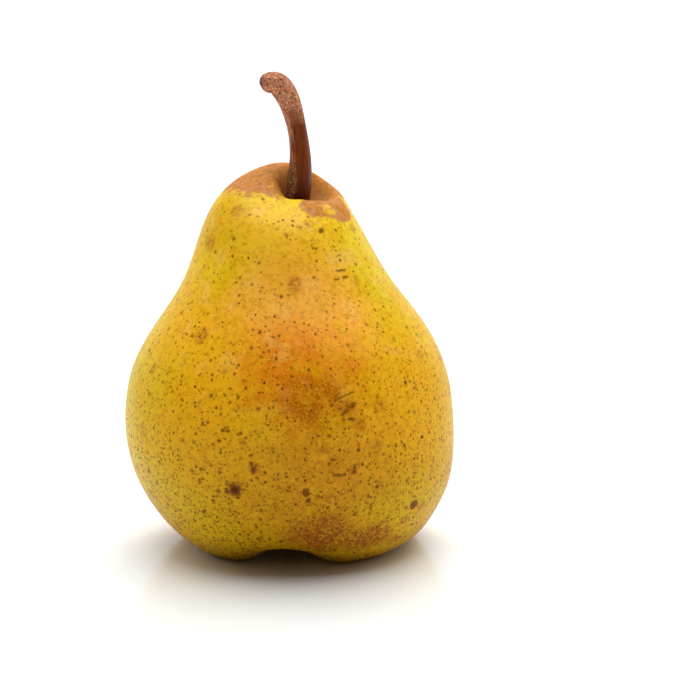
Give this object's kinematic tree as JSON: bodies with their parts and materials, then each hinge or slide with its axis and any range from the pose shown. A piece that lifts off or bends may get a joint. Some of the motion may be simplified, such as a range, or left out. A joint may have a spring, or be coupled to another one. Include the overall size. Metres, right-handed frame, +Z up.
{
  "type": "pear",
  "caption": "Ripe yellow pear standing on its base, with a bent woody stem in the hollow of its shoulders and a dried calyx under it.",
  "frame": {"origin": "on the surface that the pear stands on, under the middle of its belly", "axes": "+Z up towards the stem, +X to the right and -Y to the front of the view in the picture, which faces the stem's bend from its side"},
  "size_m": [0.0747, 0.0735, 0.1067],
  "materials": {
    "skin": null,
    "stem_wood": "reddish brown bark, rough, with pale specks",
    "dried_sepal": null
  },
  "bodies": {
    "root": {"fruit": "skin", "stem": "stem_wood", "calyx": "dried_sepal"}
  },
  "joints": []
}
